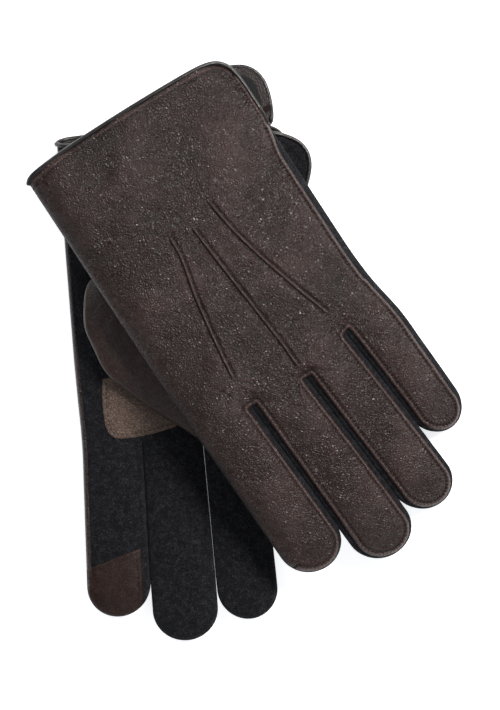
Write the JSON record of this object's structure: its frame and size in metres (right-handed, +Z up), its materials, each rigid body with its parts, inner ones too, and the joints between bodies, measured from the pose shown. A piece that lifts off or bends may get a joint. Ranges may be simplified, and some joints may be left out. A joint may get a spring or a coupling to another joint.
{
  "type": "pair of touchscreen gloves",
  "caption": "Pair of lined leather and wool gloves, one lying across the other, with side vents, raised back points and conductive index tips.",
  "frame": {"origin": "bottom centre of the pair's bounding box, on the surface that the lower glove rests on", "axes": "+Z up, +Y towards the lower right-hand glove's cuff, +X from its index finger towards its little finger"},
  "size_m": [0.1998, 0.2794, 0.0443],
  "materials": {
    "leather": "satin",
    "trim_leather": "satin",
    "touch_leather": "satin",
    "binding": "satin",
    "wool": "matte",
    "lining_knit": "matte"
  },
  "bodies": {
    "right_hand": {"right_back_panel": "leather", "right_palm_panel": "wool", "right_vent_facing": "trim_leather", "right_cuff_binding_back": "binding", "right_cuff_binding_palm": "binding", "right_cuff_facing": "trim_leather", "right_hand_lining": "lining_knit", "right_palm_patch": "trim_leather", "right_thumb_outer": "leather", "right_thumb_inner": "leather", "right_thumb_lining": "lining_knit"},
    "right_index_finger": {"right_index_back": "leather", "right_index_palm": "wool", "right_index_fourchettes": "wool", "right_index_lining": "lining_knit", "right_touch_tip": "touch_leather"},
    "right_middle_finger": {"right_middle_back": "leather", "right_middle_palm": "wool", "right_middle_fourchettes": "wool", "right_middle_lining": "lining_knit"},
    "right_ring_finger": {"right_ring_back": "leather", "right_ring_palm": "wool", "right_ring_fourchettes": "wool", "right_ring_lining": "lining_knit"},
    "right_little_finger": {"right_little_back": "leather", "right_little_palm": "wool", "right_little_fourchettes": "wool", "right_little_lining": "lining_knit"},
    "left_hand": {"left_back_panel": "leather", "left_palm_panel": "wool", "left_back_points": "leather", "left_vent_facing": "trim_leather", "left_cuff_binding_back": "binding", "left_cuff_binding_palm": "binding", "left_cuff_facing": "trim_leather", "left_hand_lining": "lining_knit", "left_palm_patch": "trim_leather", "left_thumb_outer": "leather", "left_thumb_inner": "leather", "left_thumb_lining": "lining_knit"},
    "left_index_finger": {"left_index_back": "leather", "left_index_palm": "wool", "left_index_fourchettes": "wool", "left_index_lining": "lining_knit", "left_touch_tip": "touch_leather"},
    "left_middle_finger": {"left_middle_back": "leather", "left_middle_palm": "wool", "left_middle_fourchettes": "wool", "left_middle_lining": "lining_knit"},
    "left_ring_finger": {"left_ring_back": "leather", "left_ring_palm": "wool", "left_ring_fourchettes": "wool", "left_ring_lining": "lining_knit"},
    "left_little_finger": {"left_little_back": "leather", "left_little_palm": "wool", "left_little_fourchettes": "wool", "left_little_lining": "lining_knit"}
  },
  "joints": [
    {"name": "left_glove_lift", "type": "slide", "parent": "right_hand", "child": "left_hand", "axis": [0, 0, 1], "range_m": [0, 0.15]},
    {"name": "left_index_bend", "type": "hinge", "parent": "left_hand", "child": "left_index_finger", "pos_m": [-0.01367, -0.03557, 0.03963], "axis": [-0.8719, -0.4818, 0.0871], "range_deg": [0, 50]},
    {"name": "left_middle_bend", "type": "hinge", "parent": "left_hand", "child": "left_middle_finger", "pos_m": [0.01176, -0.02154, 0.03769], "axis": [-0.8719, -0.4818, 0.0871], "range_deg": [0, 50]},
    {"name": "left_ring_bend", "type": "hinge", "parent": "left_hand", "child": "left_ring_finger", "pos_m": [0.03672, -0.00772, 0.03449], "axis": [-0.8719, -0.4818, 0.0871], "range_deg": [0, 50]},
    {"name": "left_little_bend", "type": "hinge", "parent": "left_hand", "child": "left_little_finger", "pos_m": [0.06104, 0.0058, 0.03011], "axis": [-0.8719, -0.4818, 0.0871], "range_deg": [0, 50]},
    {"name": "right_index_bend", "type": "hinge", "parent": "right_hand", "child": "right_index_finger", "pos_m": [-0.06957, -0.04101, 0.01375], "axis": [-1, 0, 0], "range_deg": [0, 60]},
    {"name": "right_middle_bend", "type": "hinge", "parent": "right_hand", "child": "right_middle_finger", "pos_m": [-0.04047, -0.04101, 0.01375], "axis": [-1, 0, 0], "range_deg": [0, 60]},
    {"name": "right_ring_bend", "type": "hinge", "parent": "right_hand", "child": "right_ring_finger", "pos_m": [-0.01177, -0.04101, 0.01375], "axis": [-1, 0, 0], "range_deg": [0, 6]},
    {"name": "right_little_bend", "type": "hinge", "parent": "right_hand", "child": "right_little_finger", "pos_m": [0.01633, -0.04101, 0.01375], "axis": [-1, 0, 0], "range_deg": [0, 6]}
  ]
}
